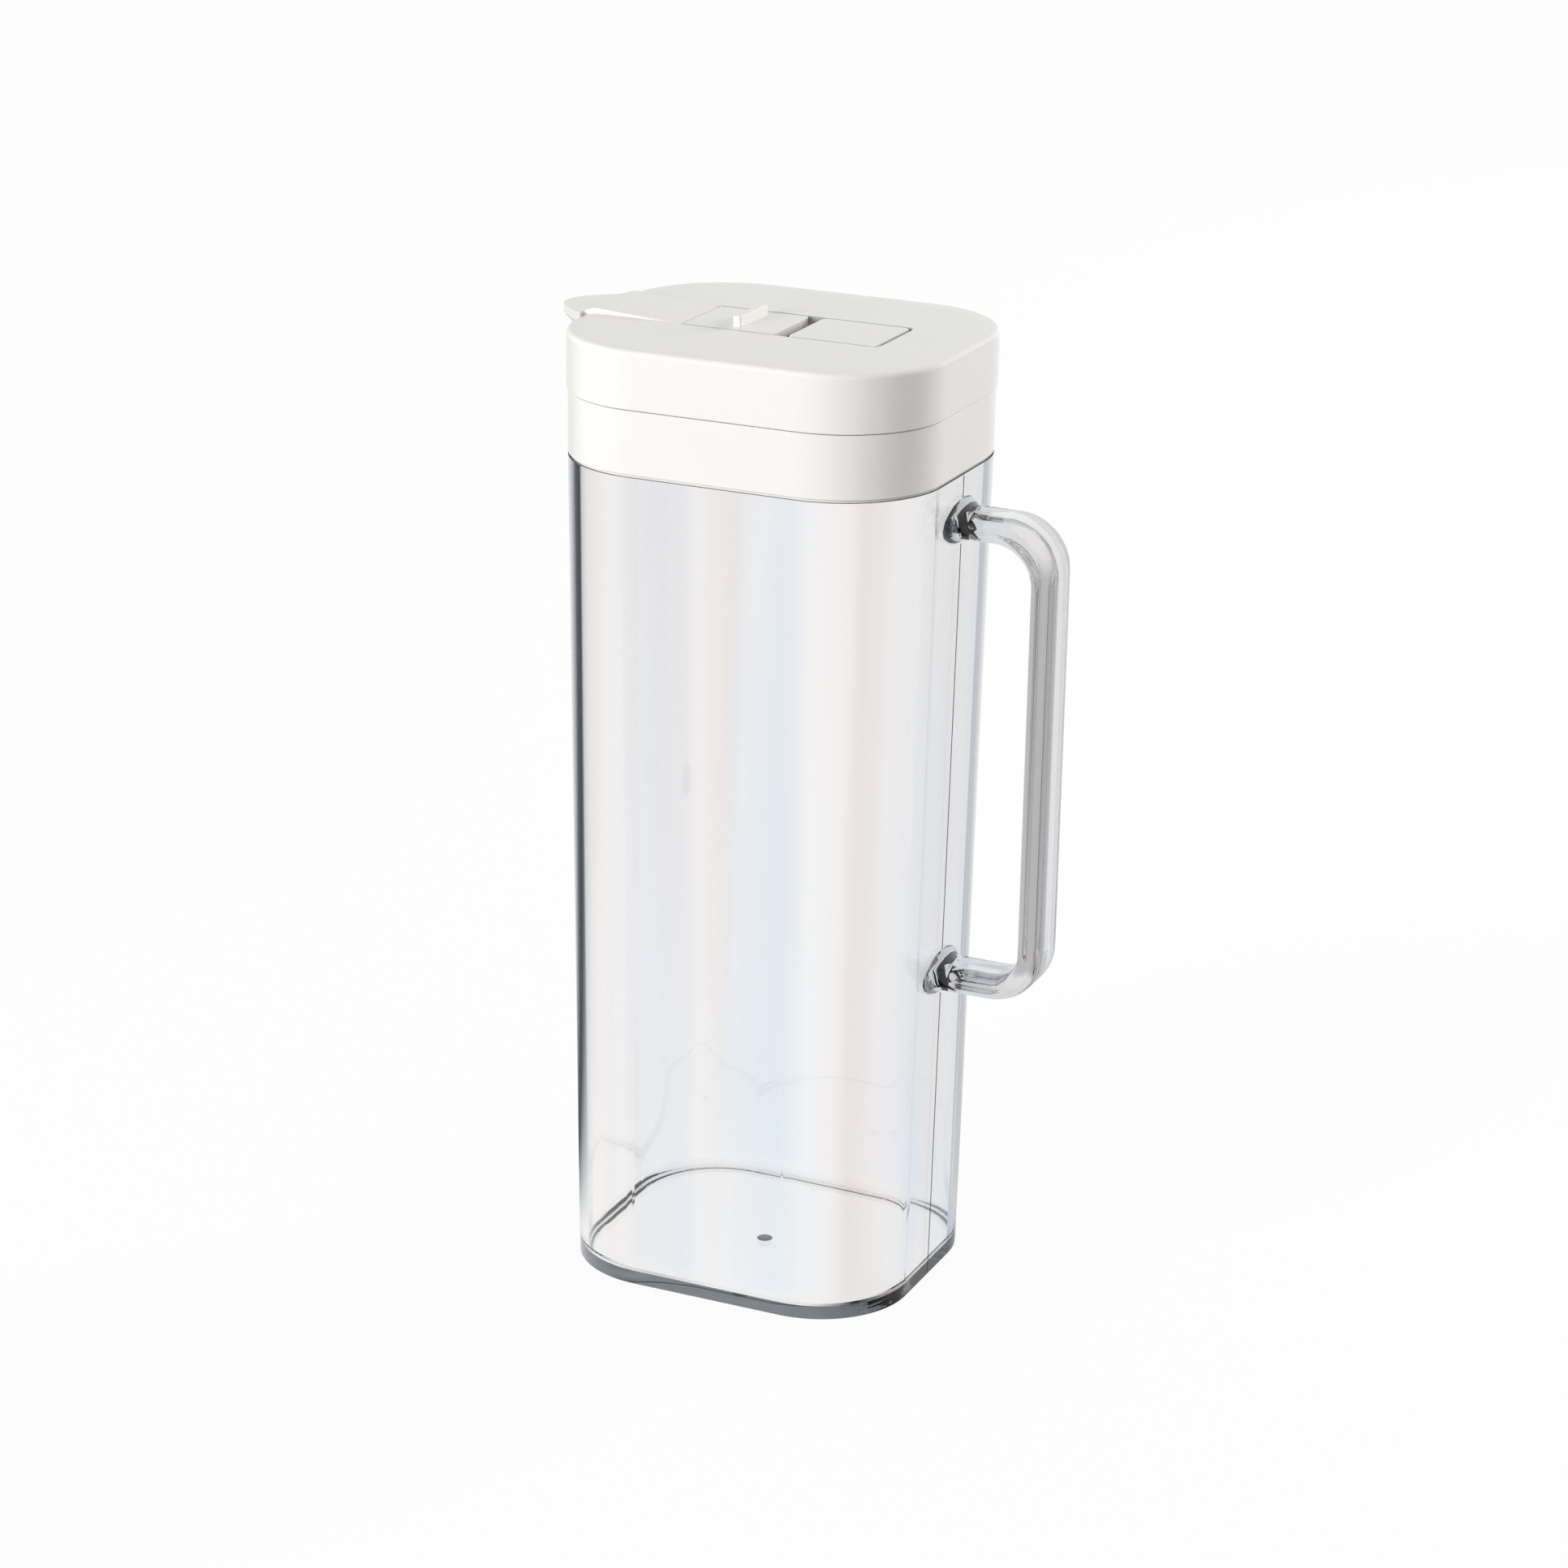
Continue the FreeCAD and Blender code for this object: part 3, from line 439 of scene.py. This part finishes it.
def white_plastic(looks, name, with_slot_shade):
    """ABS, injection moulded in a lightly textured tool.

    To the eye: an even, faintly warm white with a soft broad sheen that drifts a little from
    place to place. The grain is too fine to show, and is drawn at 0.7 mm. Shade is painted into
    the
    colour: grey lines on the gaps round the moving parts, and near black inside the lid's slot.
    """
    material, tree, output = new_material(name)
    place = add_node(tree, "ShaderNodeTexCoord")
    cloud = add_node(
        tree,
        "ShaderNodeTexNoise",
        inputs={"Scale": 1 / CLOUD_SIZE, "Detail": 3.0, "Roughness": 0.5},
        links={"Vector": (place, "Object")},
    )
    white = add_node(
        tree,
        "ShaderNodeMixRGB",
        inputs={"Color1": looks.cap_colour, "Color2": looks.cap_shade},
        links={"Fac": (cloud, "Fac")},
    )
    # Painted shade: the colour turns to the seam shade on the gaps round the moving parts.
    seam_shade_mask = inside_boxes(tree, place, seam_boxes(), SEAM_EDGE)
    colour = add_node(
        tree,
        "ShaderNodeMixRGB",
        inputs={"Color2": looks.painted_seam_shade},
        links={"Fac": (seam_shade_mask, 0), "Color1": (white, "Color")},
    )
    # Painted shade: the slot's inside turns near black.
    if with_slot_shade:
        slot = inside_boxes(tree, place, [slot_box()], SLOT_EDGE)
        colour = add_node(
            tree,
            "ShaderNodeMixRGB",
            inputs={"Color2": looks.painted_slot_shade},
            links={"Fac": (slot, 0), "Color1": (colour, "Color")},
        )
    gloss = add_node(
        tree,
        "ShaderNodeMapRange",
        inputs={"To Min": looks.cap_roughness - SMOOTHER, "To Max": looks.cap_roughness + ROUGHER},
        links={"Value": (cloud, "Fac")},
    )
    grain = add_node(
        tree,
        "ShaderNodeTexNoise",
        inputs={"Scale": 1 / GRAIN_SIZE, "Detail": 2.0, "Roughness": 0.5},
        links={"Vector": (place, "Object")},
    )
    bump = add_node(
        tree,
        "ShaderNodeBump",
        inputs={"Strength": 0.04, "Distance": GRAIN_DEPTH},
        links={"Height": (grain, "Fac")},
    )
    shader = add_node(
        tree,
        "ShaderNodeBsdfPrincipled",
        inputs={"IOR": ABS_IOR},
        links={
            "Base Color": (colour, "Color"),
            "Roughness": (gloss, 0),
            "Normal": (bump, "Normal"),
        },
    )
    tree.links.new(shader.outputs["BSDF"], output.inputs["Surface"])
    return material


def clear_plastic(looks):
    """SAN, a clear styrene plastic, injection moulded in a polished tool.

    To the eye: nearly colourless, glass-like, darker where the sight line runs a long way inside
    the wall, as at the corners, the foot and the handle. Flow in the tool leaves the walls with
    faint upright streaks, some cool and some warm, and a slight ripple.
    """
    material, tree, output = new_material("clear SAN, polished moulding")
    place = add_node(tree, "ShaderNodeTexCoord")
    drawn = add_node(
        tree,
        "ShaderNodeMapping",
        inputs={"Scale": (1 / STREAK_WIDTH, 1 / STREAK_WIDTH, 1 / STREAK_LENGTH)},
        links={"Vector": (place, "Object")},
    )
    streak = add_node(
        tree,
        "ShaderNodeTexNoise",
        inputs={"Scale": 1.0, "Detail": 1.5, "Roughness": 0.45},
        links={"Vector": (drawn, "Vector")},
    )
    tint = add_node(tree, "ShaderNodeValToRGB", links={"Fac": (streak, "Fac")})
    cool, warm = tint.color_ramp.elements
    cool.position = 0.36
    cool.color = linear("F5FAFF")
    warm.position = 0.64
    warm.color = linear("FFF7F4")
    tint.color_ramp.elements.new(0.5).color = linear("FFFFFF")
    apart = add_node(tree, "ShaderNodeSeparateXYZ", links={0: (place, "Object")})
    wall = add_node(
        tree,
        "ShaderNodeMapRange",
        inputs={"From Min": STREAK_FADE[0], "From Max": STREAK_FADE[1]},
        links={"Value": (apart, "Z")},
    )
    hue = add_node(
        tree,
        "ShaderNodeMixRGB",
        inputs={"Color1": linear("FFFFFF")},
        links={"Fac": (wall, 0), "Color2": (tint, "Color")},
    )
    bump = add_node(
        tree,
        "ShaderNodeBump",
        inputs={"Strength": 1.0, "Distance": RIPPLE_DEPTH},
        links={"Height": (streak, "Fac")},
    )
    shader = add_node(
        tree,
        "ShaderNodeBsdfPrincipled",
        inputs={"Roughness": 0.0, "IOR": SAN_IOR, "Transmission Weight": 1.0},
        links={"Base Color": (hue, "Color"), "Normal": (bump, "Normal")},
    )
    volume = add_node(
        tree,
        "ShaderNodeVolumeAbsorption",
        inputs={"Color": linear("AEB2B7"), "Density": looks.clear_depth},
    )
    tree.links.new(shader.outputs["BSDF"], output.inputs["Surface"])
    tree.links.new(volume.outputs["Volume"], output.inputs["Volume"])
    return material


def rough_clear(looks):
    """SAN where the tool leaves it rough, at the gate and along the parting line.

    To the eye: frosted grey against the polished walls, as it scatters what it lets through. The
    frost is too fine to show, and is drawn at 1.1 mm.
    """
    material, tree, output = new_material("clear SAN, frosted at tool marks")
    place = add_node(tree, "ShaderNodeTexCoord")
    speck = add_node(
        tree,
        "ShaderNodeTexNoise",
        inputs={"Scale": 1 / FROST_SIZE, "Detail": 2.0, "Roughness": 0.5},
        links={"Vector": (place, "Object")},
    )
    frost = add_node(
        tree,
        "ShaderNodeMixRGB",
        inputs={"Color1": looks.mark_colour, "Color2": linear("B4B7BC")},
        links={"Fac": (speck, "Fac")},
    )
    bump = add_node(
        tree,
        "ShaderNodeBump",
        inputs={"Strength": 0.3, "Distance": FROST_DEPTH},
        links={"Height": (speck, "Fac")},
    )
    shader = add_node(
        tree,
        "ShaderNodeBsdfPrincipled",
        inputs={"Roughness": 0.4, "IOR": SAN_IOR, "Transmission Weight": 0.5},
        links={"Base Color": (frost, "Color"), "Normal": (bump, "Normal")},
    )
    tree.links.new(shader.outputs["BSDF"], output.inputs["Surface"])
    return material


def dress(node_name, material):
    """Give a CAD node a material in place of its own."""
    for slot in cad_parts[node_name].material_slots:
        slot.material = material


def place_piece(name, shape, material):
    """Put a finished mesh in the scene as a piece of the pitcher's body."""
    mesh = bpy.data.meshes.new(name)
    bmesh.ops.recalc_face_normals(shape, faces=shape.faces)
    shape.to_mesh(mesh)
    shape.free()
    mesh.materials.append(material)
    piece = bpy.data.objects.new(name, mesh)
    bpy.context.scene.collection.objects.link(piece)
    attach(piece, BODY)


def parting_shape(width, rise):
    """Low bead up the middle of the handle side, half sunk into the wall, crest rounded."""
    shape = bmesh.new()
    for low, high in PARTING_RUNS:
        run = bmesh.ops.create_cube(shape, size=1.0)["verts"]
        bmesh.ops.scale(shape, verts=run, vec=(2 * rise, width, high - low))
        bmesh.ops.translate(shape, verts=run, vec=(FOOT_HALF_LENGTH, 0.0, (low + high) / 2))
    crest = [
        edge
        for edge in shape.edges
        if min(vertex.co.x for vertex in edge.verts) > FOOT_HALF_LENGTH
    ]
    bmesh.ops.bevel(
        shape,
        geom=crest,
        offset=0.7 * rise,
        offset_type="OFFSET",
        affect="EDGES",
        segments=3,
        profile=0.5,
        material=-1,
    )
    lean = Matrix.Identity(4)
    lean[0][2] = DRAFT
    bmesh.ops.transform(shape, matrix=lean, verts=shape.verts)
    return shape


def gate_shape(radius, rise):
    """Low round button in the middle of the inner floor, half sunk into it."""
    shape = bmesh.new()
    bmesh.ops.create_uvsphere(shape, u_segments=32, v_segments=16, radius=1.0)
    bmesh.ops.scale(shape, verts=shape.verts, vec=(radius, radius, rise))
    bmesh.ops.translate(shape, verts=shape.verts, vec=(*GATE_PLACE, FLOOR_THICKNESS))
    for face in shape.faces:
        face.smooth = True
    return shape


class PITCHER_OT_jug(bpy.types.Operator):
    """Give the clear jug its plastic"""

    bl_idname = "pitcher.jug"
    bl_label = "Clear jug"

    def execute(self, context):
        dress("jug", clear_plastic(context.scene.pitcher_looks))
        return {"FINISHED"}


class PITCHER_OT_marks(bpy.types.Operator):
    """Add the jug's parting line and the gate mark in its floor"""

    bl_idname = "pitcher.marks"
    bl_label = "Moulding marks"

    def execute(self, context):
        looks = context.scene.pitcher_looks
        material = rough_clear(looks)
        line = parting_shape(looks.parting_width, looks.parting_rise)
        place_piece("parting_line", line, material)
        place_piece("gate_mark", gate_shape(looks.gate_radius, looks.gate_rise), material)
        return {"FINISHED"}


class PITCHER_OT_lid(bpy.types.Operator):
    """Give the lid, collar, flap, catch and cover their white plastic"""

    bl_idname = "pitcher.lid"
    bl_label = "White lid parts"

    def execute(self, context):
        looks = context.scene.pitcher_looks
        dress("lid", white_plastic(looks, "white ABS, satin moulded, painted shade in slot", True))
        material = white_plastic(looks, "white ABS, satin moulded", False)
        for name in ("collar", "flap", "catch", "cover"):
            dress(name, material)
        return {"FINISHED"}


def compass_colour(tree, source, output, stops):
    """Colour by compass direction round the pitcher, from a position or a direction."""
    apart = add_node(tree, "ShaderNodeSeparateXYZ", links={0: (source, output)})
    turn = add_node(
        tree,
        "ShaderNodeMath",
        settings={"operation": "ARCTAN2"},
        links={0: (apart, "X"), 1: (apart, "Y")},
    )
    share = add_node(
        tree,
        "ShaderNodeMapRange",
        inputs={"From Min": -math.pi, "From Max": math.pi},
        links={"Value": (turn, 0)},
    )
    ramp = add_node(tree, "ShaderNodeValToRGB", links={"Fac": (share, 0)})
    elements = ramp.color_ramp.elements
    elements.remove(elements[-1])
    elements[0].position = 0.0
    elements[0].color = linear(stops[0][1])
    for degrees, colour in stops[1:]:
        elements.new((degrees + 180) / 360).color = linear(colour)
    return ramp


def through_glass(tree, compass, output):
    """What glass and gloss find: the compass colours, or paper white past the far wall."""
    path = add_node(tree, "ShaderNodeLightPath")
    past = add_node(
        tree,
        "ShaderNodeMath",
        settings={"operation": "GREATER_THAN"},
        inputs={1: FAR_CROSSINGS},
        links={0: (path, "Transmission Depth")},
    )
    pale = add_node(
        tree,
        "ShaderNodeMixRGB",
        inputs={"Color2": linear(FAR_WHITE)},
        links={"Fac": (past, 0), "Color1": (compass, output)},
    )
    optic = add_node(
        tree,
        "ShaderNodeMath",
        settings={"operation": "MAXIMUM"},
        links={0: (path, "Is Transmission Ray"), 1: (path, "Is Glossy Ray")},
    )
    glow = add_node(
        tree, "ShaderNodeEmission", inputs={"Strength": 1.0}, links={"Color": (pale, "Color")}
    )
    return path, optic, glow


def studio_world(strength):
    """Plain surroundings: white where seen, the studio's tones in gloss and clear plastic."""
    world = bpy.data.worlds.new("studio surroundings")
    world.use_nodes = True
    tree = world.node_tree
    tree.nodes.clear()
    place = add_node(tree, "ShaderNodeTexCoord")
    ring = compass_colour(tree, place, "Generated", WALL_TONES)
    height = add_node(tree, "ShaderNodeSeparateXYZ", links={0: (place, "Generated")})
    upward = add_node(
        tree,
        "ShaderNodeMapRange",
        inputs={"From Min": CEILING_HEIGHT[0], "From Max": CEILING_HEIGHT[1]},
        links={"Value": (height, "Z")},
    )
    sky = add_node(
        tree,
        "ShaderNodeMixRGB",
        inputs={"Color2": linear(CEILING_TONE)},
        links={"Fac": (upward, 0), "Color1": (ring, "Color")},
    )
    path, optic, glow = through_glass(tree, sky, "Color")
    light = add_node(
        tree, "ShaderNodeBackground", inputs={"Color": linear("FFFFFF"), "Strength": strength}
    )
    white = add_node(
        tree, "ShaderNodeBackground", inputs={"Color": linear("FFFFFF"), "Strength": 1.0}
    )
    lit = add_node(
        tree, "ShaderNodeMixShader", links={0: (optic, 0), 1: (light, 0), 2: (glow, 0)}
    )
    mix = add_node(
        tree,
        "ShaderNodeMixShader",
        links={0: (path, "Is Camera Ray"), 1: (lit, 0), 2: (white, 0)},
    )
    add_node(tree, "ShaderNodeOutputWorld", links={"Surface": (mix, 0)})
    bpy.context.scene.world = world


def studio_floor():
    """Large pale floor under the pitcher."""
    mesh = bpy.data.meshes.new("floor")
    shape = bmesh.new()
    bmesh.ops.create_grid(shape, x_segments=1, y_segments=1, size=FLOOR_HALF_SIZE)
    bmesh.ops.translate(shape, verts=shape.verts, vec=(0.0, 0.0, -FLOOR_DROP))
    shape.to_mesh(mesh)
    shape.free()
    floor = bpy.data.objects.new("floor", mesh)
    bpy.context.scene.collection.objects.link(floor)
    mesh.materials.append(floor_paper())


def floor_paper():
    """Matt paper, white where seen so that only the pitcher's soft shadow marks it.

    To the eye: an even white sheet. To the pitcher it is a mid grey that throws back little
    light, and in gloss and clear plastic it has the studio's tones.
    """
    material, tree, output = new_material("floor, matt white paper")
    place = add_node(tree, "ShaderNodeTexCoord")
    ring = compass_colour(tree, place, "Object", FLOOR_TONES)
    path, optic, glow = through_glass(tree, ring, "Color")
    paper = add_node(tree, "ShaderNodeBsdfDiffuse", inputs={"Color": linear("ACACAC")})
    shaded = add_node(tree, "ShaderNodeBsdfDiffuse", inputs={"Color": linear("F8F8F8")})
    seen = add_node(tree, "ShaderNodeEmission", inputs={"Strength": 1.0})
    lit = add_node(
        tree,
        "ShaderNodeMixShader",
        inputs={0: FLOOR_GLOW},
        links={1: (shaded, 0), 2: (seen, 0)},
    )
    matt = add_node(
        tree,
        "ShaderNodeMixShader",
        links={0: (path, "Is Camera Ray"), 1: (paper, 0), 2: (lit, 0)},
    )
    mix = add_node(
        tree, "ShaderNodeMixShader", links={0: (optic, 0), 1: (matt, 0), 2: (glow, 0)}
    )
    tree.links.new(mix.outputs["Shader"], output.inputs["Surface"])
    return material


def studio_lamp(name, position, power):
    """Square softbox aimed at the pitcher, which lights it but isn't mirrored in it."""
    lamp = bpy.data.lights.new(name, "AREA")
    lamp.shape = "SQUARE"
    lamp.size = LAMP_SIZE
    lamp.energy = power
    holder = bpy.data.objects.new(name, lamp)
    bpy.context.scene.collection.objects.link(holder)
    direction = Vector(LAMP_AIM) - Vector(position)
    holder.location = position
    holder.rotation_mode = "QUATERNION"
    holder.rotation_quaternion = direction.to_track_quat("-Z", "Y")
    holder.visible_glossy = False
    holder.visible_transmission = False


def studio_camera(studio):
    """Camera at the settings' angle, looking at the aim point."""
    camera = bpy.data.cameras.new("camera")
    camera.sensor_width = 36.0
    camera.lens = studio.lens
    camera.clip_start = 0.01
    camera.clip_end = 100.0
    holder = bpy.data.objects.new("camera", camera)
    bpy.context.scene.collection.objects.link(holder)
    flat = math.cos(studio.elevation)
    back = Vector(
        (
            math.sin(studio.azimuth) * flat,
            -math.cos(studio.azimuth) * flat,
            math.sin(studio.elevation),
        )
    )
    holder.location = Vector(studio.aim) + back * studio.distance
    look = (-back).to_track_quat("-Z", "Y")
    holder.rotation_mode = "QUATERNION"
    holder.rotation_quaternion = look @ Quaternion((0.0, 0.0, 1.0), studio.roll)
    bpy.context.scene.camera = holder


class PITCHER_OT_stage(bpy.types.Operator):
    """Set up the floor, the surroundings, the lamps and the camera"""

    bl_idname = "pitcher.stage"
    bl_label = "Studio"

    def execute(self, context):
        scene = context.scene
        studio = scene.pitcher_studio
        scene.view_settings.view_transform = "Standard"
        scene.cycles.max_bounces = LIGHT_BOUNCES
        scene.cycles.transmission_bounces = LIGHT_BOUNCES
        scene.cycles.glossy_bounces = LIGHT_BOUNCES
        studio_world(studio.world_strength)
        studio_floor()
        studio_lamp("front softbox", FRONT_LAMP, studio.front_power)
        studio_lamp("side softbox", SIDE_LAMP, studio.side_power)
        studio_camera(studio)
        return {"FINISHED"}


class PITCHER_PT_panel(bpy.types.Panel):
    """Sidebar panel that lists the pitcher's steps and settings"""

    bl_idname = "PITCHER_PT_panel"
    bl_label = "Water Pitcher"
    bl_space_type = "VIEW_3D"
    bl_region_type = "UI"
    bl_category = "Water Pitcher"

    def draw(self, context):
        column = self.layout.column()
        for operator in STEPS:
            column.operator(operator.bl_idname)
        for group in (context.scene.pitcher_looks, context.scene.pitcher_studio):
            for name in group.__annotations__:
                column.prop(group, name)


STEPS = (PITCHER_OT_jug, PITCHER_OT_marks, PITCHER_OT_lid, PITCHER_OT_stage)
CLASSES = (PitcherLooks, PitcherStudio) + STEPS + (PITCHER_PT_panel,)


def register():
    for item in CLASSES:
        bpy.utils.register_class(item)
    bpy.types.Scene.pitcher_looks = bpy.props.PointerProperty(type=PitcherLooks)
    bpy.types.Scene.pitcher_studio = bpy.props.PointerProperty(type=PitcherStudio)


def unregister():
    del bpy.types.Scene.pitcher_studio
    del bpy.types.Scene.pitcher_looks
    for item in reversed(CLASSES):
        bpy.utils.unregister_class(item)


def main():
    register()
    bpy.ops.pitcher.jug()
    bpy.ops.pitcher.marks()
    bpy.ops.pitcher.lid()
    bpy.ops.pitcher.stage()
    bpy.context.view_layer.update()


if __name__ == "__main__":
    main()
